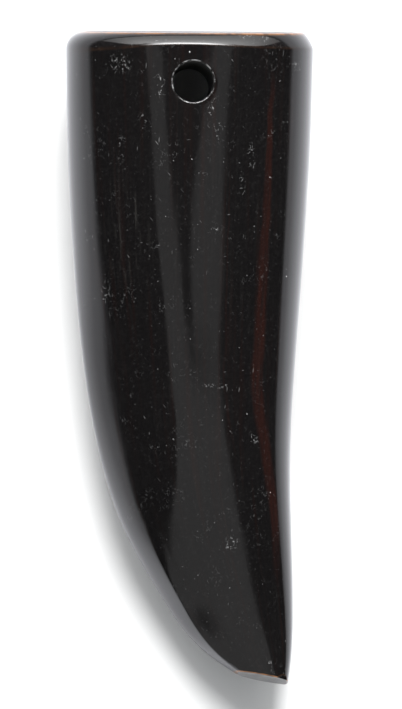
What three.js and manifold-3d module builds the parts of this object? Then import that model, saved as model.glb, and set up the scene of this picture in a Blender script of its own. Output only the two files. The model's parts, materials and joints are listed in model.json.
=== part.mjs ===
// A pendant in the shape of a tusk, carved from one solid piece of black horn.
// It lies on its back: +Z is up out of the polished front, +Y runs to the wide
// sawn end, and the tip sweeps towards -Y and +X. Millimetres and degrees.
// The horn is a loft of flat rings. Its outline and thickness are smooth curves
// through a few stations, and a cord hole is drilled through from front to back.

import * as THREE from 'three';
import { mergeVertices } from 'three/addons/utils/BufferGeometryUtils.js';
import Module from 'manifold-3d';

// Stations along the length: how far the left and right edges lie from the
// centre line, half the thickness, how squared off the section is, and how much
// squarer its right side is than its left.
const STATIONS = [
  { y: 33.5, left: -12.35, right: 12.45, halfThickness: 9.87, squareness: 0.029, lopsidedness: 0.009 },
  { y: 22, left: -12.2, right: 12.05, halfThickness: 9.47, squareness: 0.01, lopsidedness: 0.015 },
  { y: 10, left: -11.6, right: 11.35, halfThickness: 8.86, squareness: -0.002, lopsidedness: 0.028 },
  { y: 0, left: -10.7, right: 10.6, halfThickness: 8.08, squareness: -0.023, lopsidedness: 0.047 },
  { y: -10, left: -9, right: 10.1, halfThickness: 6.95, squareness: -0.005, lopsidedness: 0.047 },
  { y: -18, left: -6.3, right: 10.25, halfThickness: 5.42, squareness: 0.018, lopsidedness: 0.039 },
  { y: -25, left: -2.3, right: 10.4, halfThickness: 3.93, squareness: 0, lopsidedness: 0.059 },
  { y: -30, left: 1.9, right: 10.25, halfThickness: 2.76, squareness: 0.018, lopsidedness: 0.06 },
  { y: -33.5, left: 7.3, right: 9.8, halfThickness: 1.91, squareness: 0.057, lopsidedness: 0.038 },
];

// The crest lies a little left of the middle.
const CREST_SHIFT = 0.03;

// The back rests on the ground as far as the bend. From there to the tip it
// lifts, and the widest part of the section drops towards the back.
const LIFT_START_Y = 4;
const LIFT_END_Y = -31.5;
const BACK_LIFT = 3.4;
const SHOULDER_DROP = 0.15;

// The sawn wide end, nearly square to the horn's own sloping axis.
const END_Y = 32.45;
const END_YAW_DEG = -0.4;
const END_LEAN_DEG = -5;

// The bevel around the sawn end: how far it cuts in, how far along the horn, and
// how steep it is at its edge on the side and at the rim of the end face.
const BEVEL_INSET = { front: 1, left: 1.7, right: 1.1 };
const BEVEL_LENGTH = { front: 1.2, left: 2.1, right: 1.7 };
const BEVEL_EDGE_DEG = { front: 25, left: 0, right: 25 };
const BEVEL_RIM_DEG = { front: 57, left: 68, right: 42 };
const BEVEL_STEPS = 4;

// The cut across the tip, which turns up a little towards the front.
const TIP_Y = -32.4;
const TIP_YAW_DEG = -9.5;
const TIP_LEAN_DEG = 13;

// The cord hole, from the middle of its front mouth to the middle of its back one.
const HOLE_RADIUS = 2;
const HOLE_FRONT = new THREE.Vector3(0.4, 26.9, 19.3);
const HOLE_BACK = new THREE.Vector3(-0.1, 27.4, 0);
const DRILL_OVERRUN = 8;

const RING_SIDES = 56;
const RING_COUNT = 46;
const HOLE_SIDES = 40;

const wasm = await Module();
wasm.setup();

function slope(degrees) {
  return Math.tan(THREE.MathUtils.degToRad(degrees));
}

// A natural cubic spline through points with rising x: smooth to its second
// derivative, so the polished surface has no kinks at the stations.
function naturalSpline(xs, values) {
  const last = xs.length - 1;
  const bend = new Array(xs.length).fill(0);
  const work = new Array(xs.length).fill(0);
  for (let i = 1; i < last; i += 1) {
    const before = xs[i] - xs[i - 1];
    const after = xs[i + 1] - xs[i];
    const share = before / (before + after);
    const pivot = share * bend[i - 1] + 2;
    const turn = (values[i + 1] - values[i]) / after - (values[i] - values[i - 1]) / before;
    bend[i] = (share - 1) / pivot;
    work[i] = ((6 * turn) / (before + after) - share * work[i - 1]) / pivot;
  }
  for (let i = last - 1; i > 0; i -= 1) bend[i] = bend[i] * bend[i + 1] + work[i];
  bend[0] = 0;
  return (x) => {
    let i = 0;
    while (i < last - 1 && x > xs[i + 1]) i += 1;
    const gap = xs[i + 1] - xs[i];
    const a = (xs[i + 1] - x) / gap;
    const b = (x - xs[i]) / gap;
    const curve = ((a ** 3 - a) * bend[i] + (b ** 3 - b) * bend[i + 1]) * (gap * gap) / 6;
    return a * values[i] + b * values[i + 1] + curve;
  };
}

function stationCurve(key) {
  const rising = [...STATIONS].reverse();
  return naturalSpline(rising.map((s) => s.y), rising.map((s) => s[key]));
}

const leftEdge = stationCurve('left');
const rightEdge = stationCurve('right');
const halfThickness = stationCurve('halfThickness');
const squareness = stationCurve('squareness');
const lopsidedness = stationCurve('lopsidedness');

// How far along its lift towards the tip the horn is: 0 on the ground, 1 by the tip.
function liftShare(y) {
  return Math.max(0, LIFT_START_Y - y) / (LIFT_START_Y - LIFT_END_Y);
}

function backHeight(y) {
  return BACK_LIFT * liftShare(y) ** 3;
}

function sectionCentre(y) {
  return new THREE.Vector3((rightEdge(y) + leftEdge(y)) / 2, y, backHeight(y) + halfThickness(y));
}

// The horn's outer surface: angle 0 is the right edge, a quarter turn the front crest.
function surfacePoint(angle, y) {
  const halfWidth = (rightEdge(y) - leftEdge(y)) / 2;
  const square = squareness(y) + lopsidedness(y) * Math.cos(angle);
  const across = (Math.cos(angle) - square * Math.cos(3 * angle)) / (1 - square);
  const up = (Math.sin(angle) + square * Math.sin(3 * angle)) / (1 - square);
  const crest = CREST_SHIFT * Math.sin(angle) ** 2;
  const shoulder = SHOULDER_DROP * liftShare(y) ** 2 * (1 - up * up);
  const point = sectionCentre(y);
  point.x += halfWidth * (across - crest);
  point.z += halfThickness(y) * (up - shoulder);
  return point;
}

// Where a flat slice through the section's centre at slice.y meets the surface.
function slicePoint(angle, slice) {
  const centre = sectionCentre(slice.y);
  let point = surfacePoint(angle, slice.y);
  for (let i = 0; i < 30; i += 1) {
    const aside = slice.yaw * (point.x - centre.x) + slice.lean * (point.z - centre.z);
    point = surfacePoint(angle, slice.y + aside);
  }
  return point;
}

// Slices turn from the lie of the sawn end to the lie of the tip's cut.
function sliceAt(share) {
  return {
    y: THREE.MathUtils.lerp(END_Y, TIP_Y, share),
    yaw: THREE.MathUtils.lerp(slope(END_YAW_DEG), slope(TIP_YAW_DEG), share ** 3),
    lean: THREE.MathUtils.lerp(slope(END_LEAN_DEG), slope(TIP_LEAN_DEG), share ** 3),
  };
}

// A size that differs over the front and back, at the left edge and at the right.
function aroundEnd(size, angle) {
  const side = Math.cos(angle) ** 2;
  const atSide = Math.cos(angle) < 0 ? size.left : size.right;
  return THREE.MathUtils.lerp(size.front, atSide, (3 * side) / (1 + 2 * side));
}

function ringAngles() {
  return Array.from({ length: RING_SIDES }, (_, k) => (k / RING_SIDES) * Math.PI * 2);
}

function inwardAt(angle, y) {
  const step = 0.001;
  const along = surfacePoint(angle + step, y).sub(surfacePoint(angle - step, y));
  return new THREE.Vector3(-along.z, 0, along.x).normalize();
}

// One ring of the bevel: share 0 is its edge on the side, 1 is the end face's rim.
// It leaves the front and right at a crisp edge and the left side smoothly.
function bevelRing(share) {
  const end = sliceAt(0);
  const endCentre = sectionCentre(END_Y);
  return ringAngles().map((angle) => {
    const first = THREE.MathUtils.degToRad(aroundEnd(BEVEL_EDGE_DEG, angle));
    const final = THREE.MathUtils.degToRad(aroundEnd(BEVEL_RIM_DEG, angle));
    const turn = THREE.MathUtils.lerp(first, final, share);
    const length = aroundEnd(BEVEL_LENGTH, angle);
    const inset = aroundEnd(BEVEL_INSET, angle);
    const along = (Math.sin(turn) - Math.sin(first)) / (Math.sin(final) - Math.sin(first));
    const inwards = (Math.cos(first) - Math.cos(turn)) / (Math.cos(first) - Math.cos(final));
    const left = length * (1 - along);
    const point = slicePoint(angle, { ...end, y: END_Y - left });
    point.addScaledVector(inwardAt(angle, point.y), inset * inwards);
    const aside = end.yaw * (point.x - endCentre.x) + end.lean * (point.z - endCentre.z);
    point.y = END_Y + aside - left;
    return point;
  });
}

// One ring of the side, from the bevel's edge to the cut tip.
function sideRing(share) {
  return ringAngles().map((angle) => {
    const startShare = aroundEnd(BEVEL_LENGTH, angle) / (END_Y - TIP_Y);
    return slicePoint(angle, sliceAt(THREE.MathUtils.lerp(startShare, 1, share)));
  });
}

function hornRings() {
  const rings = [];
  for (let i = BEVEL_STEPS; i > 0; i -= 1) rings.push(bevelRing(i / BEVEL_STEPS));
  for (let i = 0; i < RING_COUNT; i += 1) rings.push(sideRing(i / (RING_COUNT - 1)));
  return rings;
}

function average(points) {
  const sum = new THREE.Vector3();
  points.forEach((point) => sum.add(point));
  return sum.divideScalar(points.length);
}

// Closes a stack of rings into one solid, with a fan of triangles on each end.
function loft(rings) {
  const sides = rings[0].length;
  const points = [...rings.flat(), average(rings[0]), average(rings.at(-1))];
  const firstCentre = points.length - 2;
  const lastCentre = points.length - 1;
  const lastRing = (rings.length - 1) * sides;
  const index = [];
  for (let k = 0; k < sides; k += 1) {
    const next = (k + 1) % sides;
    for (let start = 0; start < lastRing; start += sides) {
      const a = start + k;
      const b = start + next;
      index.push(a, b, a + sides);
      index.push(b, b + sides, a + sides);
    }
    index.push(firstCentre, next, k);
    index.push(lastCentre, lastRing + k, lastRing + next);
  }
  const geometry = new THREE.BufferGeometry().setFromPoints(points);
  geometry.setIndex(index);
  return geometry;
}

function toManifold(geometry) {
  const bare = geometry.clone();
  bare.deleteAttribute('normal');
  bare.deleteAttribute('uv');
  const merged = mergeVertices(bare, 1e-4);
  return new wasm.Manifold(new wasm.Mesh({
    numProp: 3,
    vertProperties: new Float32Array(merged.attributes.position.array),
    triVerts: new Uint32Array(merged.index.array),
  }));
}

function fromManifold(solid) {
  const mesh = solid.getMesh();
  const geometry = new THREE.BufferGeometry();
  geometry.setAttribute('position', new THREE.BufferAttribute(mesh.vertProperties, 3));
  geometry.setIndex(new THREE.BufferAttribute(mesh.triVerts, 1));
  geometry.computeVertexNormals();
  return geometry;
}

// A straight drill through both mouths of the hole, running past each of them.
function drillGeometry() {
  const axis = HOLE_FRONT.clone().sub(HOLE_BACK);
  const length = axis.length() + 2 * DRILL_OVERRUN;
  const drill = new THREE.CylinderGeometry(HOLE_RADIUS, HOLE_RADIUS, length, HOLE_SIDES);
  const up = new THREE.Vector3(0, 1, 0);
  drill.applyQuaternion(new THREE.Quaternion().setFromUnitVectors(up, axis.normalize()));
  const middle = HOLE_FRONT.clone().add(HOLE_BACK).divideScalar(2);
  drill.translate(middle.x, middle.y, middle.z);
  return drill;
}

function hornTusk() {
  const solid = toManifold(loft(hornRings()));
  const drilled = solid.subtract(toManifold(drillGeometry()));
  const material = new THREE.MeshStandardMaterial({ color: 0x121011, roughness: 0.14, metalness: 0 });
  const mesh = new THREE.Mesh(fromManifold(drilled), material);
  mesh.name = 'horn_tusk';
  return mesh;
}

const pendant = new THREE.Group();
pendant.add(hornTusk());

export default pendant;
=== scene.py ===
# A polished black horn tusk pendant, lying on its back on a white table and seen
# from straight above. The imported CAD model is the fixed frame: the fine horn
# surface below takes the place of its plain solid and fills exactly its box.
import json
import math

import bmesh
import bpy
import numpy as np
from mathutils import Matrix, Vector


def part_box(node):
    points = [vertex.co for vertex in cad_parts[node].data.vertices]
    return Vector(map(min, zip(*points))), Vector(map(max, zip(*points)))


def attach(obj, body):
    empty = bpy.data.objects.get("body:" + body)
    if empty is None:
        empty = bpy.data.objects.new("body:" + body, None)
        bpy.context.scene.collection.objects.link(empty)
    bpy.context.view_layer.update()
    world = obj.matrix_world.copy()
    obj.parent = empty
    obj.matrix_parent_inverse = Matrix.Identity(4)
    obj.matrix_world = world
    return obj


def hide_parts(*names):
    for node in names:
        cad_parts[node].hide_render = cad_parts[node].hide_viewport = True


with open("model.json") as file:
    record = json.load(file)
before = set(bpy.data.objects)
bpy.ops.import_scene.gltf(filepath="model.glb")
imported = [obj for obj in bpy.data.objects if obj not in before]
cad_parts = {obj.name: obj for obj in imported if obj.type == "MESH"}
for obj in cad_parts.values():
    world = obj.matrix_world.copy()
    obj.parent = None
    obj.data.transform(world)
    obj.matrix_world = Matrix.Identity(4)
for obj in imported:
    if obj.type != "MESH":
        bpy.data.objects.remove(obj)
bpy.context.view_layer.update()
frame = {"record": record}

NODE = "horn_tusk"
MM = 0.001

# ---------------------------------------------------------------- shape, in mm
# Stations along the length: y, left edge, right edge, half thickness, squareness of
# the section, and how much squarer its right side is than its left.
STATIONS = (
    (33.5, -12.35, 12.45, 9.87, 0.029, 0.009),
    (22, -12.2, 12.05, 9.47, 0.01, 0.015),
    (10, -11.6, 11.35, 8.86, -0.002, 0.028),
    (0, -10.7, 10.6, 8.08, -0.023, 0.047),
    (-10, -9, 10.1, 6.95, -0.005, 0.047),
    (-18, -6.3, 10.25, 5.42, 0.018, 0.039),
    (-25, -2.3, 10.4, 3.93, 0, 0.059),
    (-30, 1.9, 10.25, 2.76, 0.018, 0.06),
    (-33.5, 7.3, 9.8, 1.91, 0.057, 0.038),
)
CREST_SHIFT = 0.03

# The back rests on the ground as far as the bend, then lifts towards the tip.
LIFT_START_Y = 4
LIFT_END_Y = -31.5
BACK_LIFT = 3.4
SHOULDER_DROP = 0.15

# Towards the tip a soft ridge parts the left flank from the front. Its height and the
# places of its top and two feet are shares of the half width.
RIDGE_HEIGHT = 0.085
RIDGE_START_Y = -16.5
RIDGE_FULL_Y = -25
RIDGE_FOOT, RIDGE_TOP, RIDGE_END = -1.0, -0.72, -0.3
RIDGE_SHARPNESS = 22

END_Y, END_YAW_DEG, END_LEAN_DEG = 32.45, -0.4, -5
TIP_Y, TIP_YAW_DEG, TIP_LEAN_DEG = -32.4, -9.5, 13

# The bevel round the sawn end, over the front and back, at the left and at the right.
BEVEL_INSET = (1.0, 1.7, 1.1)
BEVEL_LENGTH = (1.2, 2.1, 1.7)
BEVEL_EDGE_DEG = (25, 0, 25)
BEVEL_RIM_DEG = (57, 68, 42)
BEVEL_RINGS = 14
EDGE_ROUND = 0.12  # share of the bevel's profile that each of its edges' rounding takes

# How worn the bevel's lower edge and its rim are, and over how much of its profile; the same share
# lays a painted amber highlight fringe there.
LOWER_EDGE_WEAR_AND_FRINGE = (0.04, EDGE_ROUND)
RIM_WEAR_AND_FRINGE = (1.0, 1.35 * EDGE_ROUND)

HOLE_FRONT = (0.4, 26.9)
HOLE_BACK = (-0.1, 27.4)
HOLE_RADIUS = frame["record"]["mounts"][1]["dims"]["r_mm"]
HOLE_CHAMFER = 0.14
HOLE_BLOCK = 7  # half the side of the square of mesh cells that each mouth replaces
HALF_STEP = math.pi / (8 * HOLE_BLOCK)  # half the turn between two of a mouth's points
HOLE_BLEND = 1.8  # the mesh is plain again this many half-sides from the mouth's centre

# The tip's cut has a small round edge, and a chip has broken off its right corner:
# the way the chip's flat faces, how deep it is, and the wear along its edge, which also lays a
# painted amber highlight fringe.
TIP_EDGE = 0.14
CHIP_FACING = (0.5, -0.42, 0.76)
CHIP_ZONE_Y = -25  # it can only lie below this
CHIP_DEPTH = 0.14
CHIP_EDGE = 0.02
CHIP_WEAR_AND_FRINGE = 0.14

RING_SIDES = 200
FIRST_RING_IN = 0.01  # how far in from a flat end's rim its first ring lies
SIDE_RINGS = 268
TIP_CROWDING = 1.25  # rings lie closer together towards the tip

# Polishing by hand leaves long, very shallow waves. Their turns per millimetre across
# the grain and along it are drawn with these spreads.
WAVE_HEIGHT = 0.005
WAVE_COUNT = 14
WAVE_SEED = 7
WAVES_ACROSS, WAVES_ALONG = 0.5, 0.22

# Steps of the two searches for a point on the surface.
SLICE_STEPS = 30
HALVINGS = 45


def slope(degrees):
    return math.tan(math.radians(degrees))


def lerp(a, b, share):
    return a + (b - a) * share


def smooth_step(share):
    share = np.clip(share, 0, 1)
    return share * share * (3 - 2 * share)


def natural_spline(xs, values):
    """A cubic spline through points with rising x, smooth to its second derivative."""
    xs = np.array(xs, float)
    values = np.array(values, float)
    gaps = np.diff(xs)
    rises = np.diff(values) / gaps
    system = np.eye(len(xs))
    right = np.zeros(len(xs))
    for i in range(1, len(xs) - 1):
        system[i, i - 1:i + 2] = gaps[i - 1], 2 * (gaps[i - 1] + gaps[i]), gaps[i]
        right[i] = 6 * (rises[i] - rises[i - 1])
    bends = np.linalg.solve(system, right)

    def curve(x):
        i = np.clip(np.searchsorted(xs, x) - 1, 0, len(gaps) - 1)
        before = x - xs[i]
        after = xs[i + 1] - x
        cubic = (bends[i] * after**3 + bends[i + 1] * before**3) / (6 * gaps[i])
        start = (values[i] / gaps[i] - bends[i] * gaps[i] / 6) * after
        end = (values[i + 1] / gaps[i] - bends[i + 1] * gaps[i] / 6) * before
        return cubic + start + end

    return curve


def station_curve(column):
    rising = STATIONS[::-1]
    return natural_spline([s[0] for s in rising], [s[column] for s in rising])


left_edge = station_curve(1)
right_edge = station_curve(2)
half_thickness = station_curve(3)
squareness = station_curve(4)
lopsidedness = station_curve(5)


def lift_share(y):
    return np.maximum(0, LIFT_START_Y - y) / (LIFT_START_Y - LIFT_END_Y)


def half_width(y):
    return (right_edge(y) - left_edge(y)) / 2


def middle_x(y):
    return (right_edge(y) + left_edge(y)) / 2


def middle_z(y):
    return BACK_LIFT * lift_share(y) ** 3 + half_thickness(y)


def surface_point(angle, y):
    """The horn's outer surface: angle 0 is the right edge, a quarter turn the front crest."""
    square = squareness(y) + lopsidedness(y) * np.cos(angle)
    across = (np.cos(angle) - square * np.cos(3 * angle)) / (1 - square)
    up = (np.sin(angle) + square * np.sin(3 * angle)) / (1 - square)
    shoulder = SHOULDER_DROP * lift_share(y) ** 2 * (1 - up * up)
    x = middle_x(y) + half_width(y) * (across - CREST_SHIFT * np.sin(angle) ** 2)
    z = middle_z(y) + half_thickness(y) * (up - shoulder) + left_ridge(across, up, y)
    return np.stack([x, y + 0 * angle, z], axis=-1)


def left_ridge(across, up, y):
    """How far the soft ridge on the left of the front lifts the surface."""
    rise = (across - RIDGE_FOOT) / (RIDGE_TOP - RIDGE_FOOT)
    fall = np.clip((RIDGE_END - across) / (RIDGE_END - RIDGE_TOP), 0, None) ** 2
    blend = np.exp(-RIDGE_SHARPNESS * rise) + np.exp(-RIDGE_SHARPNESS * fall)
    tent = np.clip(-np.log(blend) / RIDGE_SHARPNESS, 0, None)
    grown = smooth_step((RIDGE_START_Y - y) / (RIDGE_START_Y - RIDGE_FULL_Y))
    return np.where(up > 0, RIDGE_HEIGHT * half_width(y) * grown * tent, 0)


def slice_point(angle, y, yaw, lean):
    """Where a flat slice through the section's centre at y meets the surface."""
    centre_x, centre_z = middle_x(y), middle_z(y)
    point = surface_point(angle, y + 0 * angle)
    for _ in range(SLICE_STEPS):
        aside = yaw * (point[..., 0] - centre_x) + lean * (point[..., 2] - centre_z)
        point = surface_point(angle, y + aside)
    return point


def slice_at(share):
    """Slices turn from the lie of the sawn end to the lie of the tip's cut."""
    y = lerp(END_Y, TIP_Y, share)
    yaw = lerp(slope(END_YAW_DEG), slope(TIP_YAW_DEG), share**3)
    lean = lerp(slope(END_LEAN_DEG), slope(TIP_LEAN_DEG), share**3)
    return y, yaw, lean


def around_end(sizes, angle):
    """A size that differs over the front and back, at the left edge and at the right."""
    front, left, right = sizes
    side = np.cos(angle) ** 2
    at_side = np.where(np.cos(angle) < 0, left, right)
    return lerp(front, at_side, 3 * side / (1 + 2 * side))


def inward_at(angle, y):
    step = 0.001
    along = surface_point(angle + step, y) - surface_point(angle - step, y)
    inward = np.stack([-along[..., 2], 0 * angle, along[..., 0]], axis=-1)
    return inward / np.linalg.norm(inward, axis=-1, keepdims=True)


# ---------------------------------------------------------------- mesh building
POLISHED, SAWN, DRILLED, CUT, RIM = range(5)


class Shell:
    """Collects rows of points and the faces between them.

    It remembers which finish each face has and how worn each point's edge is, a share that also
    lays a painted amber highlight fringe.
    """

    def __init__(self):
        self.rows = []
        self.wear_and_fringe = []
        self.faces = []
        self.finishes = []
        self.finish = POLISHED
        self.count = 0

    def add(self, points, wear_and_fringe=0.0):
        first = self.count
        self.rows.append(points)
        self.wear_and_fringe.append(np.full(len(points), wear_and_fringe))
        self.count += len(points)
        return np.arange(first, self.count)

    def bridge(self, loop, next_loop, skip=()):
        """A band of quads between two closed loops of the same length."""
        size = len(loop)
        for k in range(size):
            if k not in skip:
                after = (k + 1) % size
                self.face(loop[k], loop[after], next_loop[after], next_loop[k])

    def face(self, *corners):
        self.faces.append([int(corner) for corner in corners])
        self.finishes.append(self.finish)

    def close(self, loop, rings):
        """Fills a flat loop with rings that shrink to its middle, the first close to the rim."""
        rim = self.points()[loop]
        centre = rim.mean(axis=0)
        outer = loop
        for share in [FIRST_RING_IN] + list(np.linspace(0, 1, rings, endpoint=False)[1:]):
            inner = self.add(lerp(rim, centre, share))
            self.bridge(outer, inner)
            outer = inner
        middle = self.add(centre[None])[0]
        for k in range(len(outer)):
            self.face(outer[k], outer[(k + 1) % len(outer)], middle)

    def points(self):
        return np.concatenate(self.rows)


def ring_angles():
    return np.arange(RING_SIDES) / RING_SIDES * 2 * math.pi


def bevel_profile(angle):
    """For each angle, how far along and inwards each bevel ring lies, as shares from 0 to 1.

    The profile leaves the side, turns a small round edge, crosses the slightly
    domed bevel and turns a second round edge into the end face.
    """
    shares = np.linspace(0, 1, 400)
    first = np.radians(around_end(BEVEL_EDGE_DEG, angle))[:, None]
    final = np.radians(around_end(BEVEL_RIM_DEG, angle))[:, None]
    opening = smooth_step(shares / EDGE_ROUND) * first
    dome = (final - first) * np.clip((shares - EDGE_ROUND) / (1 - 2 * EDGE_ROUND), 0, 1)
    closing = (math.pi / 2 - final) * smooth_step((shares - 1 + EDGE_ROUND) / EDGE_ROUND)
    turn = opening + dome + closing
    along = np.cumsum(np.cos(turn), axis=1)
    inwards = np.cumsum(np.sin(turn), axis=1)
    return shares, along / along[:, -1:], inwards / inwards[:, -1:]


def bevel_ring_shares():
    """Rings crowd at the bevel's two round edges."""
    half = BEVEL_RINGS // 2
    spread = 0.5 * (np.arange(half + 1) / half) ** 1.8
    return np.concatenate([spread, 1 - spread[-2::-1]])


def edge_wear_and_fringe(share):
    """How worn a bevel ring is, and so how strong its painted amber highlight fringe is, by how
    near it lies to one of the bevel's two round edges.
    """
    from_edge = min(share, 1 - share) - EDGE_ROUND / 2
    most, reach = LOWER_EDGE_WEAR_AND_FRINGE if share < 0.5 else RIM_WEAR_AND_FRINGE
    return most * max(0.0, 1 - abs(from_edge) / reach)


def bevel_rings():
    """The bevel from its edge on the side to the rim of the end face, side ring first."""
    angle = ring_angles()
    shares, along, inwards = bevel_profile(angle)
    length = around_end(BEVEL_LENGTH, angle)
    inset = around_end(BEVEL_INSET, angle)
    y, yaw, lean = slice_at(0)
    rings = []
    for share in bevel_ring_shares():
        at = np.array([np.interp(share, shares, row) for row in along])
        into = np.array([np.interp(share, shares, row) for row in inwards])
        short = length * (1 - at)
        point = slice_point(angle, y - short, yaw, lean)
        point = point + inward_at(angle, point[:, 1]) * (inset * into)[:, None]
        aside = yaw * (point[:, 0] - middle_x(y)) + lean * (point[:, 2] - middle_z(y))
        point[:, 1] = y + aside - short
        rings.append(point)
    return rings


def side_rings():
    """The long side, from the bevel's edge to the cut tip."""
    angle = ring_angles()
    start = around_end(BEVEL_LENGTH, angle) / (END_Y - TIP_Y)
    final = 1 - TIP_EDGE / (END_Y - TIP_Y)
    steps = 1 - (1 - np.arange(SIDE_RINGS) / (SIDE_RINGS - 1)) ** TIP_CROWDING
    return [slice_point(angle, *slice_at(lerp(start, final, step))) for step in steps]


def tip_edge_rings(last_ring):
    """The round edge between the side's last ring and the flat of the cut."""
    corner = slice_point(ring_angles(), *slice_at(1))
    inward = corner.mean(axis=0) - corner
    inner = corner + inward / np.linalg.norm(inward, axis=1)[:, None] * TIP_EDGE
    bends = np.linspace(0, 1, 7)[1:]
    return [lerp(lerp(last_ring, corner, t), lerp(corner, inner, t), t) for t in bends]


# ---------------------------------------------------------------- the cord hole
def angle_at(x, y, front):
    """The angle at which the front or back surface passes over a given x at this y."""
    low = np.full(x.shape, 0.0 if front else -math.pi)
    high = np.full(x.shape, math.pi if front else 0.0)
    for _ in range(HALVINGS):
        middle = (low + high) / 2
        beyond = surface_point(middle, y)[..., 0] > x
        go_up = beyond if front else ~beyond
        low = np.where(go_up, middle, low)
        high = np.where(go_up, high, middle)
    return (low + high) / 2


def square_to_circle(a, b):
    """The direction from a square's middle, evenly spaced round the circle."""
    far = np.maximum(np.abs(a), np.abs(b))
    far = np.where(far == 0, 1, far)
    a, b = a / far, b / far
    upper = np.where(b < 0, -1, 1)
    sideways = np.where(a > 0, b, 4 * upper - b)
    upright = (2 - a) * upper
    turn = math.pi / 4 * np.where(np.abs(a) >= np.abs(b), sideways, upright)
    return np.cos(turn), np.sin(turn)


def make_room_for_mouth(rings, centre, front):
    """Bends the mesh's rows and columns into a round opening.

    Returns the rings and columns of the square block of cells inside it.
    """
    grid = np.stack(rings)
    centre_x, centre_y = centre
    quarter = RING_SIDES // 4 if front else 3 * RING_SIDES // 4
    row = int(np.argmin(np.abs(grid[:, quarter, 1] - centre_y)))
    reach = range(quarter - 20, quarter + 21)
    column = min(reach, key=lambda k: abs(grid[row, k, 0] - centre_x))
    span = int(HOLE_BLOCK * HOLE_BLEND)
    rows = np.arange(row - span, row + span + 1)
    columns = np.arange(column - span, column + span + 1)
    b, a = np.meshgrid((rows - row) / HOLE_BLOCK, (columns - column) / HOLE_BLOCK, indexing="ij")
    far = np.maximum(np.abs(a), np.abs(b))
    across, along = square_to_circle(a if not front else -a, -b)
    radius = (HOLE_RADIUS + HOLE_CHAMFER) * np.maximum(far, 1)
    block = grid[np.ix_(rows, columns)]
    keep = smooth_step((far - 1) / (HOLE_BLEND - 1))
    x = lerp(centre_x + radius * across, block[..., 0], keep)
    y = lerp(centre_y + radius * along, block[..., 1], keep)
    moved = surface_point(angle_at(x, y, front), y)
    moved = np.where((far >= HOLE_BLEND)[..., None], block, moved)
    grid[np.ix_(rows, columns)] = moved
    inside_rows = range(row - HOLE_BLOCK, row + HOLE_BLOCK)
    inside_columns = range(column - HOLE_BLOCK, column + HOLE_BLOCK)
    return list(grid), inside_rows, inside_columns


def mouth_loop(side_loops, rows, columns, centre, points):
    """The mesh points round a mouth, in order of their direction from its centre."""
    top, bottom = side_loops[rows[0]], side_loops[rows[-1] + 1]
    loop = [row[c] for row in (top, bottom) for c in range(columns[0], columns[-1] + 2)]
    for r in rows[1:]:
        loop += [side_loops[r][columns[0]], side_loops[r][columns[-1] + 1]]
    loop = np.array(loop)
    away = points[loop][:, :2] - np.array(centre)
    turn = np.arctan2(away[:, 1], away[:, 0])
    return loop[np.argsort(np.mod(turn + HALF_STEP, 2 * math.pi))]


def mouth_chamfer(shell, loop, centre, inward):
    """Rounds the edge of a mouth; inward is -1 on the front and 1 on the back."""
    edge = shell.points()[loop]
    away = edge[:, :2] - np.array(centre)
    direction = away / np.linalg.norm(away, axis=1)[:, None]
    outer = loop
    for turn in np.radians([18, 36, 54, 72, 90]):
        radius = HOLE_RADIUS + HOLE_CHAMFER * (1 - math.sin(turn))
        depth = HOLE_CHAMFER * (1 - math.cos(turn))
        ring = np.empty_like(edge)
        ring[:, :2] = np.array(centre) + direction * radius
        ring[:, 2] = edge[:, 2] + inward * depth
        inner = shell.add(ring)
        shell.bridge(outer, inner)
        outer = inner
    return outer


def hole_wall(shell, front_loop, back_loop, steps=24):
    points = shell.points()
    front, back = points[front_loop], points[back_loop]
    outer = front_loop
    for i in range(1, steps):
        inner = shell.add(lerp(front, back, i / steps))
        shell.bridge(outer, inner)
        outer = inner
    shell.bridge(outer, back_loop)


# ---------------------------------------------------------------- the horn
def straightened(points):
    """Where each point would lie if the horn were straight and untapered.

    Grain and streaks drawn in this space follow the horn's bend to the tip.
    """
    x, y, z = points.T
    wide_y = STATIONS[0][0]
    across = (x - middle_x(y)) / half_width(y) * half_width(wide_y)
    up = (z - middle_z(y)) / half_thickness(y) * half_thickness(wide_y)
    return np.stack([across, y, up], axis=-1)


def polish_waves(straight):
    """A sum of long shallow waves, all from one seeded draw."""
    draw = np.random.default_rng(WAVE_SEED)
    height = np.zeros(len(straight))
    for _ in range(WAVE_COUNT):
        across, up = draw.normal(0, WAVES_ACROSS, 2)
        along = draw.normal(0, WAVES_ALONG)
        phase = draw.uniform(0, 2 * math.pi)
        height += np.sin(straight @ np.array([across, along, up]) + phase)
    return height * WAVE_HEIGHT / math.sqrt(WAVE_COUNT)


def chip_tip(points, wear_and_fringe):
    """Flattens what stands out past the chip's plane, and marks its edge as worn, which also gives
    it the painted amber highlight fringe.
    """
    facing = np.array(CHIP_FACING) / np.linalg.norm(CHIP_FACING)
    reach = points @ facing
    past = reach - reach[points[:, 1] < CHIP_ZONE_Y].max() + CHIP_DEPTH
    past[points[:, 1] > CHIP_ZONE_Y] = -math.inf
    chipped = past > 0
    points[chipped] -= past[chipped, None] * facing
    wear_and_fringe[chipped] = 0.0
    wear_and_fringe[abs(past) < CHIP_EDGE] = CHIP_WEAR_AND_FRINGE


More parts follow.
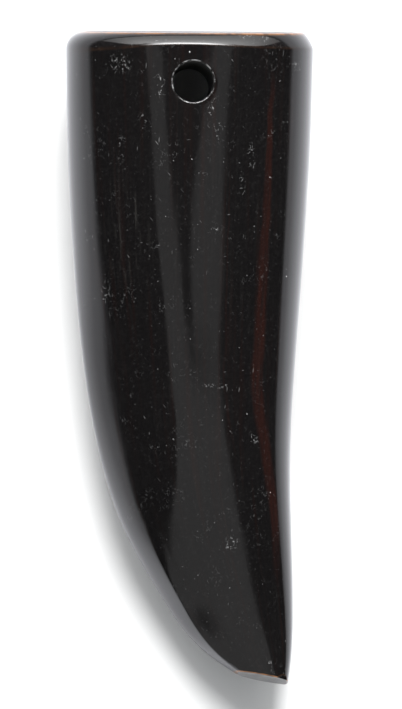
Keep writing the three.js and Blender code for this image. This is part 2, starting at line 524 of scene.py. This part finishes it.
def build_shell():
    side = side_rings()
    side, front_rows, front_columns = make_room_for_mouth(side, HOLE_FRONT, True)
    side, back_rows, back_columns = make_room_for_mouth(side, HOLE_BACK, False)
    shell = Shell()
    wear_and_fringe_share = [edge_wear_and_fringe(share) for share in bevel_ring_shares()]
    bevel_loops = [shell.add(ring, wear_and_fringe) for ring, wear_and_fringe in zip(bevel_rings()[1:], wear_and_fringe_share[1:])]
    side_loops = [shell.add(ring) for ring in side]
    shell.bridge(bevel_loops[0], side_loops[0])
    for outer, inner in zip(bevel_loops[1:], bevel_loops):
        shell.bridge(outer, inner)
    for i in range(len(side_loops) - 1):
        skip = set(front_columns) if i in front_rows else set()
        skip |= set(back_columns) if i in back_rows else set()
        shell.bridge(side_loops[i], side_loops[i + 1], skip)
    points = shell.points()
    front = mouth_loop(side_loops, front_rows, front_columns, HOLE_FRONT, points)
    back = mouth_loop(side_loops, back_rows, back_columns, HOLE_BACK, points)
    tip = side_loops[-1]
    for ring in tip_edge_rings(side[-1]):
        # The tip's round edge is fully worn and carries the full painted amber highlight fringe.
        inner = shell.add(ring, wear_and_fringe=1.0)
        shell.bridge(tip, inner)
        tip = inner
    shell.finish = RIM
    front_wall = mouth_chamfer(shell, front, HOLE_FRONT, -1)
    back_wall = mouth_chamfer(shell, back, HOLE_BACK, 1)
    shell.finish = DRILLED
    hole_wall(shell, front_wall, back_wall)
    shell.finish = SAWN
    shell.close(bevel_loops[-1], 16)
    shell.finish = CUT
    shell.close(tip, 12)
    return shell


def fit_to_box(points, low, high):
    """Places points in millimetres so that they fill a box given in metres."""
    lowest, highest = points.min(axis=0), points.max(axis=0)
    low, high = np.array(low), np.array(high)
    return low + (points - lowest) / (highest - lowest) * (high - low)


def clean_up(mesh):
    """Turns every face outwards and takes out the points that the hole's mouths left over."""
    work = bmesh.new()
    work.from_mesh(mesh)
    bmesh.ops.recalc_face_normals(work, faces=work.faces)
    unused = [point for point in work.verts if not point.link_faces]
    bmesh.ops.delete(work, geom=unused, context="VERTS")
    work.to_mesh(mesh)
    work.free()
    mesh.update()


def positions(mesh):
    places = np.empty(len(mesh.vertices) * 3)
    mesh.vertices.foreach_get("co", places)
    return places.reshape(-1, 3)


def make_horn():
    shell = build_shell()
    points = shell.points()
    wear_and_fringe = np.concatenate(shell.wear_and_fringe)
    chip_tip(points, wear_and_fringe)
    mesh = bpy.data.meshes.new("horn_surface")
    mesh.from_pydata(points, [], shell.faces)
    mesh.polygons.foreach_set("material_index", shell.finishes)
    mesh.attributes.new("wear_and_fringe", "FLOAT", "POINT").data.foreach_set("value", wear_and_fringe)
    clean_up(mesh)
    points = positions(mesh)
    straight = straightened(points)
    normals = np.empty(len(points) * 3)
    mesh.vertex_normals.foreach_get("vector", normals)
    waves = polish_waves(straight)[:, None] * normals.reshape(-1, 3)
    placed = fit_to_box(points + waves, *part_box(NODE))
    mesh.vertices.foreach_set("co", placed.ravel())
    along_grain = mesh.attributes.new("straight", "FLOAT_VECTOR", "POINT")
    along_grain.data.foreach_set("vector", straight.ravel())
    mesh.shade_smooth()
    mesh.update()
    for look in (polished_horn(), sawn_horn(), drilled_horn(), cut_horn(), rim_horn()):
        mesh.materials.append(look)
    horn = bpy.data.objects.new("horn_tusk_surface", mesh)
    bpy.context.collection.objects.link(horn)
    return horn


# ---------------------------------------------------------------- looks
class Look:
    """A node material, with short calls for the nodes that its function wires together."""

    def __init__(self, name):
        self.material = bpy.data.materials.new(name)
        self.material.use_nodes = True
        self.tree = self.material.node_tree
        self.shader = self.tree.nodes["Principled BSDF"]

    def feed(self, socket, value):
        if isinstance(value, bpy.types.NodeSocket):
            self.tree.links.new(value, socket)
        else:
            socket.default_value = value

    def node(self, kind, inputs, output=0, **settings):
        node = self.tree.nodes.new("ShaderNode" + kind)
        for name, value in settings.items():
            setattr(node, name, value)
        for key, value in inputs.items():
            self.feed(node.inputs[key], value)
        return node.outputs[output]

    def attribute(self, name, output):
        return self.node("Attribute", {}, output, attribute_name=name)

    def math(self, operation, *values):
        return self.node("Math", dict(enumerate(values)), operation=operation)

    def stretch(self, vector, factors):
        return self.node("VectorMath", {0: vector, 1: factors}, operation="MULTIPLY")

    def noise(self, vector, scale, detail=2.0, rough=0.5):
        inputs = {"Vector": vector, "Scale": scale, "Detail": detail, "Roughness": rough}
        return self.node("TexNoise", inputs)

    def length(self, vector):
        return self.node("VectorMath", {0: vector}, "Value", operation="LENGTH")

    def metres(self):
        """Where a point lies, in metres."""
        return self.node("TexCoord", {}, "Object")

    def place(self):
        """Where a point lies, in millimetres."""
        return self.stretch(self.metres(), (1 / MM, 1 / MM, 1 / MM))

    def part(self, vector, axis):
        return self.node("SeparateXYZ", {0: vector}, axis)

    def turned(self, vector, degrees):
        inputs = {"Vector": vector, "Angle": math.radians(degrees)}
        return self.node("VectorRotate", inputs, rotation_type="Z_AXIS")

    def cells(self, vector, output):
        """Random cells one unit wide: the distance from the nearest middle, or a random colour."""
        return self.node("TexVoronoi", {"Vector": vector, "Scale": 1.0}, output)

    def ramp(self, value, start, end, low=0.0, high=1.0):
        """Runs smoothly from low, where value is start, to high, where it is end."""
        inputs = {"Value": value, 1: start, 2: end, 3: low, 4: high}
        return self.node("MapRange", inputs, interpolation_type="SMOOTHSTEP")

    def mix(self, share, first, second):
        inputs = {0: share, 6: first, 7: second}
        return self.node("Mix", inputs, output=2, data_type="RGBA")

    def bump(self, height, depth_mm):
        """Relief of a height from 0 to 1, that deep in millimetres."""
        inputs = {"Height": height, "Distance": depth_mm * MM, "Strength": 1.0}
        self.feed(self.shader.inputs["Normal"], self.node("Bump", inputs))


def rgb(red, green, blue):
    return (red, green, blue, 1.0)


BLACK_HORN = rgb(0.0055, 0.0050, 0.0052)
GREY_HORN = rgb(0.0080, 0.0075, 0.0074)
BROWN_HORN = rgb(0.0092, 0.0060, 0.0056)
RED_HORN = rgb(0.0188, 0.0074, 0.0060)
FIBRE = rgb(0.0195, 0.0185, 0.0175)
PALE_HORN = rgb(0.030, 0.029, 0.028)
# Painted amber highlight fringe, laid along worn edges.
PAINTED_AMBER_FRINGE = rgb(0.34, 0.155, 0.062)
SAWN_BROWN = rgb(0.018, 0.0125, 0.0105)
SAWN_GREY = rgb(0.040, 0.037, 0.035)
CUT_DARK = rgb(0.10, 0.096, 0.092)
CUT_PALE = rgb(0.27, 0.265, 0.26)
# Pale of scratches and chafing: partly real marks, partly painted glint and highlight.
SCUFF_AND_GLINT_PALE = rgb(0.36, 0.36, 0.36)
DUST = rgb(0.5, 0.5, 0.5)
DRILL_DUST = rgb(0.2, 0.195, 0.19)
HORN_IOR = 1.55
POLISH_ROUGHNESS = (0.085, 0.125)
MARK_ROUGHNESS = 0.5
EDGE_ROUGHNESS = 0.2

# How fine each pattern is: noise cells per millimetre across the horn, along it and up.
GRAIN = (1.6, 0.05, 1.6)
BUFFING = (2.4, 0.12, 2.4)
CLOUDING = (5, 2.5, 5)
FIBRE_LINES = (5, 0.12, 5)
STREAK_BREAKS = (3.5, 0.18, 3.5)
STREAK_WOBBLE = (0, 0.16, 0)
CURLS = (1.9, 1.0, 1.4)
SAW_STROKES = (0.3, 1, 5)
DRILL_TURNS = (0.4, 0.4, 5)
CUT_STROKES = (1.2, 1, 9)
CUT_STROKES_TURN_DEG = 20

# Growth rings: radians of their wave per millimetre out, and how far they are warped.
RING_TURNS = 5.2
RING_WARP = 14.0

# Relief, in millimetres from the lowest to the highest of each pattern. Scratches and
# dust count as so many times the height of the polish's own ripple.
POLISH_RELIEF = 0.0035
SCRATCH_HEIGHT = -2.0
DUST_HEIGHT = 6.0
SAWN_RELIEF = 0.03
DRILLED_RELIEF = 0.03
CUT_RELIEF = 0.02
RIM_RELIEF = 0.02

# Red-brown streaks that run along the grain: their place round the horn in degrees,
# half width, both ends of their y, and strength.
STREAKS = (
    (41, 1.0, -24, 29, 1.0),
    (63, 0.25, -12, 22, 0.3),
    (128, 0.3, -4, 26, 0.22),
    (-52, 0.8, -28, 24, 0.9),
    (-118, 0.5, -20, 30, 0.6),
    (-81, 0.35, -6, 28, 0.35),
)
GIRTH_RADIUS = 11.0
WOBBLE_TURN = 0.09  # in radians, how far the streaks wander
STREAK_BEND = (-1.0, -16.0, 0.0, -0.15)  # they turn from y to y, by radians to radians
STREAK_TAPER_LENGTH = 32
STREAK_FADES = (9, 6)  # lengths over which the low and the high end fade

# Where handling has scuffed the front, and where painted glints lie: x, y, half width and half
# length, in mm.
SCUFFS = (
    (-6.9, 28.8, 1.7, 1.3),
    (-4.6, 23.0, 0.6, 1.0),
    (-2.8, 26.4, 0.7, 1.8),
    (2.3, 24.4, 0.7, 1.4),
    (2.9, 22.2, 0.7, 1.5),
    (6.1, 19.6, 0.5, 1.8),
    (5.2, 16.8, 0.5, 1.6),
    (-6.6, 20.4, 0.6, 1.8),
    (10.3, 28.6, 1.2, 0.6),
    (1.2, 17.9, 0.9, 0.35),
    (2.6, 12.6, 0.8, 0.3),
    (2.7, -2.8, 1.8, 0.35),
    (6.2, -8.1, 1.2, 0.6),
    (7.8, 22.0, 0.8, 0.8),
    (6.4, 31.3, 1.8, 0.8),
    (8.2, -30.9, 0.5, 0.9),
    (-8.2, 6.4, 0.7, 1.6),
    (4.2, -18.5, 1.1, 0.9),
)

# Sets of short scratches: their turn in degrees, length, gap and share of cells.
HAIRLINES = (
    (6, 4.0, 0.4, 0.16),
    (-38, 2.6, 0.45, 0.12),
    (84, 2.4, 0.45, 0.14),
)

# Specks of dust: the gap between them and their radius in millimetres, the share of
# places that hold one, and how strongly they show.
DUST_SIZES = (
    (0.42, 0.045, 0.6, 0.22),
    (0.8, 0.06, 0.5, 0.6),
    (1.9, 0.1, 0.4, 1.0),
)

# Fine pale fibres that show through the polish, placed as the scuffs are.
FIBRES = (-6.4, 12.0, 3.4, 8.0)


def patch(look, place, middle_x, middle_y, half_width, half_length):
    """1 in the middle of an oval on the front, fading to 0 at its rim."""
    offset = look.node("VectorMath", {0: place, 1: (middle_x, middle_y, 0)}, operation="SUBTRACT")
    scaled = look.stretch(offset, (1 / half_width, 1 / half_length, 0))
    return look.ramp(look.length(scaled), 1.0, 0.35)


def front_only(look, straight, value):
    return look.math("MULTIPLY", value, look.ramp(look.part(straight, "Z"), 0.0, 2.0))


def streaks(look, straight):
    """Each streak lies along one direction out from the horn's middle."""
    wobble = look.noise(look.stretch(straight, STREAK_WOBBLE), 1.0, 2.0)
    x, y, up = [look.part(straight, axis) for axis in "XYZ"]
    turn = look.math("ARCTAN2", up, x)
    uneven = look.noise(look.stretch(straight, STREAK_BREAKS), 1.0, 3.0)
    bend = look.ramp(y, *STREAK_BEND)
    low_fade, high_fade = STREAK_FADES
    total = 0.0
    for degrees, half_width, low_y, high_y, strength in STREAKS:
        straight_aim = look.math("MULTIPLY_ADD", wobble, WOBBLE_TURN, math.radians(degrees))
        off_centre = look.math("SUBTRACT", turn, look.math("ADD", straight_aim, bend))
        aside = look.math("MULTIPLY", off_centre, GIRTH_RADIUS)
        narrow_y = high_y - STREAK_TAPER_LENGTH
        taper = look.ramp(y, high_y, narrow_y, 0.35 * half_width, half_width)
        share = look.math("DIVIDE", look.math("ABSOLUTE", aside), taper)
        across = look.ramp(share, 1.0, 0.35)
        low_end = look.ramp(y, low_y, low_y + low_fade)
        high_end = look.ramp(y, high_y, high_y - high_fade)
        ends = look.math("MULTIPLY", low_end, high_end)
        streak = look.math("MULTIPLY", look.math("MULTIPLY", across, ends), strength)
        total = look.math("MAXIMUM", streak, total)
    return look.math("MULTIPLY", total, look.ramp(uneven, 0.3, 0.62, 0.35, 1.0))


def fibres(look, straight, place):
    """Fine pale lines along the grain, plain in one patch and faint elsewhere."""
    lines = look.ramp(look.noise(look.stretch(straight, FIBRE_LINES), 1.0, 3.0), 0.52, 0.72)
    shown = look.math("MULTIPLY", lines, patch(look, place, *FIBRES))
    faint = look.math("MULTIPLY", lines, 0.16)
    return look.math("MAXIMUM", front_only(look, straight, shown), faint)


def squiggles(look, place):
    """Fine broken curved lines."""
    field = look.noise(look.stretch(place, CURLS), 1.0, 3.0, 0.6)
    off_line = look.math("ABSOLUTE", look.math("SUBTRACT", field, 0.5))
    broken = look.ramp(look.noise(place, 2.2, 4.0, 0.7), 0.47, 0.63)
    return look.math("MULTIPLY", look.ramp(off_line, 0.022, 0.003), broken)


def hairlines(look, place):
    """Short straight scratches in a few directions, more in some places than in others."""
    total = 0.0
    for degrees, length, gap, shown in HAIRLINES:
        lie = look.stretch(look.turned(place, degrees), (1 / gap, 1 / length, 1 / gap))
        chosen = look.math("LESS_THAN", look.part(look.cells(lie, "Color"), "X"), shown)
        line = look.math("MULTIPLY", look.ramp(look.cells(lie, "Distance"), 0.13, 0.03), chosen)
        total = look.math("MAXIMUM", line, total)
    crowded = look.ramp(look.noise(place, 0.16, 2.0), 0.42, 0.6, 0.1, 0.45)
    return look.math("MULTIPLY", total, crowded)


def specks(look, place, gap, radius, shown):
    """Round specks in a given share of random cells that are one gap wide."""
    spread = look.stretch(place, (1 / gap, 1 / gap, 1 / gap))
    chance = look.part(look.cells(spread, "Color"), "X")
    size = look.ramp(chance, 0.0, shown, radius / gap, radius * 0.4 / gap)
    share = look.math("DIVIDE", look.cells(spread, "Distance"), size)
    spot = look.ramp(share, 1.0, 0.4)
    return look.math("MULTIPLY", spot, look.math("LESS_THAN", chance, shown))


def all_dust(look, place):
    total = 0.0
    for gap, radius, shown, strength in DUST_SIZES:
        size = look.math("MULTIPLY", specks(look, place, gap, radius, shown), strength)
        total = look.math("MAXIMUM", size, total)
    return total


def marks(look, place, straight):
    """Every scratch and scuff, from 0 to 1, which also places the painted glints."""
    scuffed = 0.0
    for spot in SCUFFS:
        scuffed = look.math("MAXIMUM", patch(look, place, *spot), scuffed)
    scuffed = front_only(look, straight, scuffed)
    elsewhere = look.ramp(look.noise(place, 0.3, 2.0), 0.56, 0.75, 0.04, 0.3)
    where = look.math("MAXIMUM", scuffed, elsewhere)
    curved = look.math("MULTIPLY", squiggles(look, place), where)
    return look.math("MAXIMUM", curved, hairlines(look, place))


def worn_edge_and_fringe(look, place):
    """The wear along an edge, which also lays the painted amber highlight fringe, broken up so
    that it comes and goes.
    """
    uneven = look.ramp(look.noise(place, 1.1, 3.0), 0.3, 0.65, 0.25, 1.0)
    return look.math("MULTIPLY", look.attribute("wear_and_fringe", "Fac"), uneven)


def horn_look(name):
    look = Look(name)
    look.shader.inputs["IOR"].default_value = HORN_IOR
    return look


def polished_horn():
    look = horn_look("polished_black_horn")
    straight = look.attribute("straight", "Vector")
    place = look.place()
    wear_and_fringe_share = worn_edge_and_fringe(look, place)
    scratch_and_glint_mask = marks(look, place, straight)
    dust = all_dust(look, place)
    colour = polished_colour(look, straight, place, wear_and_fringe_share, scratch_and_glint_mask, dust)
    look.feed(look.shader.inputs["Base Color"], colour)

    smudges = look.noise(place, 0.35, 3.0)
    polish = look.ramp(smudges, 0.35, 0.65, *POLISH_ROUGHNESS)
    dull = look.math("MULTIPLY", look.math("MAXIMUM", scratch_and_glint_mask, dust), MARK_ROUGHNESS)
    rubbed = look.math("MULTIPLY", wear_and_fringe_share, EDGE_ROUGHNESS)
    roughness = look.math("MAXIMUM", polish, look.math("MAXIMUM", dull, rubbed))
    look.feed(look.shader.inputs["Roughness"], roughness)

    buffing = look.noise(look.stretch(straight, BUFFING), 1.0, 3.0)
    ripple = look.noise(place, 0.9, 2.0)
    relief = look.math("MULTIPLY_ADD", ripple, 0.5, look.math("MULTIPLY", buffing, 0.5))
    grooves = look.math("MULTIPLY_ADD", scratch_and_glint_mask, SCRATCH_HEIGHT, relief)
    look.bump(look.math("MULTIPLY_ADD", dust, DUST_HEIGHT, grooves), POLISH_RELIEF)
    return look.material


def polished_colour(look, straight, place, wear_and_fringe_share, scratch_and_glint_mask, dust):
    """Black horn, then what shows in it and lies on it, each over the one before, with a painted
    amber highlight fringe on worn edges and pale scratches that partly paint their glints.
    """
    clouding = look.noise(look.stretch(place, CLOUDING), 1.0, 3.0, 0.7)
    grain = look.noise(look.stretch(straight, GRAIN), 1.0, 4.0)
    colour = look.mix(look.ramp(clouding, 0.35, 0.75), BLACK_HORN, GREY_HORN)
    colour = look.mix(look.ramp(grain, 0.5, 0.75), colour, BROWN_HORN)
    colour = look.mix(streaks(look, straight), colour, RED_HORN)
    colour = look.mix(fibres(look, straight, place), colour, FIBRE)
    # Painted amber highlight fringe over the worn edges.
    colour = look.mix(wear_and_fringe_share, colour, PAINTED_AMBER_FRINGE)
    # Scratches turn pale: real marks, and a painted stand-in for their glints.
    colour = look.mix(look.math("MULTIPLY", scratch_and_glint_mask, 0.8), colour, SCUFF_AND_GLINT_PALE)
    return look.mix(dust, colour, DUST)


def growth_rings(look, straight):
    """Layers of horn that lie one inside the other round its middle."""
    warp = look.noise(straight, 0.18, 3.0)
    flat = look.stretch(straight, (1, 0, 1.25))
    rings_out = look.math("MULTIPLY", look.length(flat), RING_TURNS)
    layer = look.math("MULTIPLY_ADD", warp, RING_WARP, rings_out)
    shown = look.ramp(look.noise(straight, 0.35, 2.0), 0.35, 0.65, 0.2, 1.0)
    return look.math("MULTIPLY", look.ramp(look.math("SINE", layer), -0.2, 1.0), shown)


def sawn_horn():
    look = horn_look("sawn_horn_end")
    straight = look.attribute("straight", "Vector")
    place = look.place()
    rings = growth_rings(look, straight)
    strokes = look.noise(look.stretch(place, SAW_STROKES), 1.0, 4.0, 0.65)
    wear_and_fringe_share = worn_edge_and_fringe(look, place)
    colour = look.mix(rings, BLACK_HORN, SAWN_BROWN)
    colour = look.mix(look.ramp(strokes, 0.5, 0.8, 0.0, 0.6), colour, SAWN_GREY)
    # Painted amber highlight fringe over the worn rim.
    colour = look.mix(wear_and_fringe_share, colour, PAINTED_AMBER_FRINGE)
    look.feed(look.shader.inputs["Base Color"], colour)
    rough = look.math("MULTIPLY_ADD", rings, 0.1, look.ramp(strokes, 0.35, 0.65, 0.2, 0.4))
    look.feed(look.shader.inputs["Roughness"], rough)
    look.bump(look.math("MULTIPLY_ADD", rings, 0.3, strokes), SAWN_RELIEF)
    return look.material


def rim_horn():
    """The hole's edge, chafed pale in places by the cord, a pale that also paints the rim's
    highlight.
    """
    look = horn_look("chafed_rim_painted_highlight")
    place = look.place()
    chafing_and_highlight = look.ramp(look.noise(place, 1.3, 4.0, 0.65), 0.42, 0.68)
    # Pale chafing, partly a painted rim highlight.
    look.feed(look.shader.inputs["Base Color"], look.mix(chafing_and_highlight, GREY_HORN, SCUFF_AND_GLINT_PALE))
    look.feed(look.shader.inputs["Roughness"], look.ramp(chafing_and_highlight, 0.0, 1.0, 0.14, 0.3))
    look.bump(look.noise(place, 4.0, 3.0), RIM_RELIEF)
    return look.material


def drilled_horn():
    look = horn_look("drilled_horn_wall")
    place = look.place()
    turns = look.noise(look.stretch(place, DRILL_TURNS), 1.0, 3.0)
    colour = look.mix(look.ramp(turns, 0.2, 0.7), PALE_HORN, DRILL_DUST)
    look.feed(look.shader.inputs["Base Color"], colour)
    look.feed(look.shader.inputs["Roughness"], look.ramp(turns, 0.3, 0.7, 0.3, 0.5))
    look.bump(turns, DRILLED_RELIEF)
    return look.material


def cut_horn():
    look = horn_look("cut_horn_tip")
    place = look.place()
    lie = look.turned(place, CUT_STROKES_TURN_DEG)
    strokes = look.noise(look.stretch(lie, CUT_STROKES), 1.0, 4.0, 0.7)
    blotches = look.noise(place, 1.3, 3.0)
    colour = look.mix(look.ramp(blotches, 0.3, 0.7), CUT_DARK, CUT_PALE)
    colour = look.mix(look.ramp(strokes, 0.5, 0.7, 0.0, 0.5), colour, PALE_HORN)
    look.feed(look.shader.inputs["Base Color"], colour)
    look.feed(look.shader.inputs["Roughness"], look.ramp(blotches, 0.3, 0.7, 0.3, 0.45))
    look.bump(strokes, CUT_RELIEF)
    return look.material


# ---------------------------------------------------------------- stage and light, in metres
TABLE_HALF = 3.0
TABLE_WHITE = 0.88
MIRRORED_TINT = (0.975, 0.98, 1.03)
MIRROR_LIFT = 0.02 * MM  # how far the table that reflections see lies over the other

# How that table dims, near the object and further out: between which two distances, and
# from what share of white to what.
NEAR_DIMMING = (0.02, 0.07, 1.0, 0.62)
FAR_DIMMING = (0.06, 0.34, 1.0, 0.12)

# The key light: turned from +Y towards +X, then down from overhead, and how wide it looks.
KEY_TURN_DEG = 6
KEY_DOWN_DEG = 41
KEY_SPREAD_DEG = 26
KEY_STRENGTH = 4.2

# The glow round the key light, on a tall card behind the wide end.
WINDOW_Y = 0.9
WINDOW_HALF_WIDTH = 0.95
WINDOW_Z = (0.03, 1.05)
WINDOW_RADIANCE = (2.0, 6.0)  # at its foot and at its head

# The overhead softbox's corners, on a level with its height. Past the tip it widens
# out to the left, and a lit wall carries on from its far edge down to the table.
SOFTBOX_HEIGHT = 0.6
SOFTBOX_CORNERS = (
    (0.262, 0.3), (0.262, -0.1), (0.32, -0.22), (0.31, -0.33), (0.265, -0.42),
    (0.262, -2.25), (-0.3, -2.25), (-1.65, -1.6), (-1.36, -1.37), (-1.08, -1.18),
    (-0.86, -0.975), (-0.66, -0.8), (-0.44, -0.625), (-0.235, -0.47),
    (-0.215, -0.4), (-0.185, -0.28), (-0.262, -0.23), (-0.262, 0.3),
)
SOFTBOX_RADIANCE = (0.34, 0.41)  # over the horn's wide end and past its tip
SOFTBOX_FADE_Y = (-0.02, -0.35)
WALL_ENDS = ((-0.3, -2.25), (-1.65, -1.6))

# The dark shape of the camera and the arm that holds it, as the softbox's reflection
# shows it: a round body, then the arm's outline from its right side to its left.
LENS_HEIGHT = 0.43
LENS_RADIUS = 0.103
LENS_SIDES = 64
ARM_OUTLINE = (
    (0.058, -0.03), (0.038, -0.056), (0.032, -0.086), (0.044, -0.12),
    (0.062, -0.137), (0.09, -0.146), (0.155, -0.153), (0.207, -0.16),
    (0.195, -0.163), (0.11, -0.156), (0.04, -0.148), (0.016, -0.14),
    (-0.019, -0.121), (-0.034, -0.086), (-0.069, -0.057), (-0.087, -0.03),
)

# The hot card that the bevel mirrors round the key light.
FLARE_HEIGHT = 0.7
FLARE_HALF_WIDTH = 0.42
FLARE_Y = (0.38, 0.74)
FLARE_RADIANCE = (20, 1.0)  # in its middle and at its sides

ROOM_FILL = 0.42
ROOM_TINT = (0.93, 0.975, 1)
BACKDROP_RADIUS = 2.4

CAMERA_PLACE = (0.00115, 0.00025, 0.43)
FRAME_LONG_SIDE = 0.0709  # what the picture's long side spans, at the height below
FRAME_SPAN_HEIGHT = 0.009
SENSOR_MM = 36


def flat_piece(name, corners, look):
    mesh = bpy.data.meshes.new(name)
    mesh.from_pydata(corners, [], [range(len(corners))])
    mesh.materials.append(look)
    piece = bpy.data.objects.new(name, mesh)
    bpy.context.collection.objects.link(piece)
    return piece


def show_to(piece, camera=False, diffuse=False, glossy=False, shadow=False):
    piece.visible_camera = camera
    piece.visible_diffuse = diffuse
    piece.visible_glossy = glossy
    piece.visible_shadow = shadow


def rectangle(x0, x1, y0, y1, z):
    return [(x0, y0, z), (x1, y0, z), (x1, y1, z), (x0, y1, z)]


def matt(name, lightness):
    look = Look(name)
    look.shader.inputs["Base Color"].default_value = rgb(lightness, lightness, lightness)
    look.shader.inputs["Roughness"].default_value = 1.0
    look.shader.inputs["Specular IOR Level"].default_value = 0.0
    return look


def glow_of(look, radiance):
    look.shader.inputs["Emission Color"].default_value = rgb(1, 1, 1)
    look.feed(look.shader.inputs["Emission Strength"], radiance)
    return look.material


def glow(name, radiance):
    return glow_of(matt(name, 0.0), radiance)


def dim_aside(look, half_width, middle, side):
    """Runs from one value in the middle of a card to another at its left and right."""
    aside = look.math("ABSOLUTE", look.part(look.metres(), "X"))
    return look.ramp(aside, half_width * 0.3, half_width, middle, side)


def window_glow():
    """Brighter towards the window's head and dimmer out to its sides."""
    look = matt("window_glow", 0.0)
    rising = look.ramp(look.part(look.metres(), "Z"), *WINDOW_Z, *WINDOW_RADIANCE)
    middle = dim_aside(look, WINDOW_HALF_WIDTH, 1.0, 0.5)
    return glow_of(look, look.math("MULTIPLY", rising, middle))


def dimming_white():
    """White near the object and darker further out, as light falls off across a table."""
    look = matt("table_far_off", TABLE_WHITE)
    distance = look.length(look.stretch(look.metres(), (1, 0.6, 0)))
    near = look.ramp(distance, *NEAR_DIMMING)
    far = look.ramp(distance, *FAR_DIMMING)
    lightness = look.math("MULTIPLY", look.math("MULTIPLY", near, far), TABLE_WHITE)
    tinted = look.node("VectorMath", {0: MIRRORED_TINT, "Scale": lightness}, operation="SCALE")
    look.feed(look.shader.inputs["Base Color"], tinted)
    return look.material


def make_table():
    """The table, and a thin copy over it that only reflections see, which dims with distance."""
    half = TABLE_HALF
    white = matt("table_white", TABLE_WHITE).material
    table = flat_piece("table_top", rectangle(-half, half, -half, half, 0), white)
    show_to(table, camera=True, diffuse=True, shadow=True)
    above = rectangle(-half, half, -half, half, MIRROR_LIFT)
    show_to(flat_piece("table_in_gloss", above, dimming_white()), glossy=True)


def softbox_glow():
    look = matt("softbox_glow", 0.0)
    along = look.part(look.metres(), "Y")
    return glow_of(look, look.ramp(along, *SOFTBOX_FADE_Y, *SOFTBOX_RADIANCE))


def make_softbox():
    corners = [(x, y, SOFTBOX_HEIGHT) for x, y in SOFTBOX_CORNERS]
    show_to(flat_piece("softbox", corners, softbox_glow()), diffuse=True, glossy=True)
    (x0, y0), (x1, y1) = WALL_ENDS
    wall = [(x0, y0, 0), (x1, y1, 0), (x1, y1, SOFTBOX_HEIGHT), (x0, y0, SOFTBOX_HEIGHT)]
    wall_glow = glow("lit_wall", SOFTBOX_RADIANCE[1])
    show_to(flat_piece("lit_wall", wall, wall_glow), diffuse=True, glossy=True)


def make_window():
    low, high = WINDOW_Z
    half = WINDOW_HALF_WIDTH
    outline = (-half, low), (half, low), (half, high), (-half, high)
    corners = [(x, WINDOW_Y, z) for x, z in outline]
    show_to(flat_piece("window", corners, window_glow()), diffuse=True, glossy=True)


def make_lens():
    """The dark camera, which parts the softbox's reflection."""
    turns = np.arange(LENS_SIDES + 1) / LENS_SIDES * math.pi
    body = [(LENS_RADIUS * math.cos(t), LENS_RADIUS * math.sin(t)) for t in turns]
    corners = [(x, y, LENS_HEIGHT) for x, y in tuple(body) + ARM_OUTLINE[::-1]]
    show_to(flat_piece("lens_card", corners, glow("lens_black", 0.0)), glossy=True)


def make_flare():
    """A hot card round the key light that only reflections see, dimmer out to its sides."""
    look = matt("flare_glow", 0.0)
    radiance = dim_aside(look, FLARE_HALF_WIDTH, *FLARE_RADIANCE)
    corners = rectangle(-FLARE_HALF_WIDTH, FLARE_HALF_WIDTH, *FLARE_Y, FLARE_HEIGHT)
    show_to(flat_piece("flare", corners, glow_of(look, radiance)), glossy=True)


def make_key():
    sun = bpy.data.lights.new("key_light", "SUN")
    sun.energy = KEY_STRENGTH
    sun.angle = math.radians(KEY_SPREAD_DEG)
    key = bpy.data.objects.new("key_light", sun)
    bpy.context.collection.objects.link(key)
    turn = math.radians(KEY_TURN_DEG)
    down = math.radians(KEY_DOWN_DEG)
    level = math.sin(down)
    towards = (level * math.sin(turn), level * math.cos(turn), math.cos(down))
    key.rotation_mode = "QUATERNION"
    key.rotation_quaternion = Vector(towards).to_track_quat("Z", "Y")


def make_room():
    """Even fill light, hidden from reflections, and a white backdrop for the camera alone."""
    world = bpy.data.worlds.new("room")
    bpy.context.scene.world = world
    world.use_nodes = True
    background = world.node_tree.nodes["Background"]
    background.inputs["Color"].default_value = rgb(*ROOM_TINT)
    background.inputs["Strength"].default_value = ROOM_FILL
    world.cycles_visibility.glossy = False
    bpy.ops.mesh.primitive_uv_sphere_add(radius=BACKDROP_RADIUS)
    backdrop = bpy.context.object
    backdrop.name = "backdrop"
    backdrop.data.materials.append(glow("backdrop_white", 1.0))
    show_to(backdrop, camera=True)


def make_camera():
    lens = bpy.data.cameras.new("camera")
    lens.sensor_width = SENSOR_MM
    lens.lens = SENSOR_MM * (CAMERA_PLACE[2] - FRAME_SPAN_HEIGHT) / FRAME_LONG_SIDE
    lens.clip_start = 0.01
    lens.clip_end = 10
    camera = bpy.data.objects.new("camera", lens)
    camera.location = CAMERA_PLACE
    bpy.context.collection.objects.link(camera)
    bpy.context.scene.camera = camera


horn = make_horn()
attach(horn, "root")
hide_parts(NODE)

make_table()
make_softbox()
make_window()
make_lens()
make_flare()
make_key()
make_room()
make_camera()
bpy.context.scene.view_settings.view_transform = "Standard"
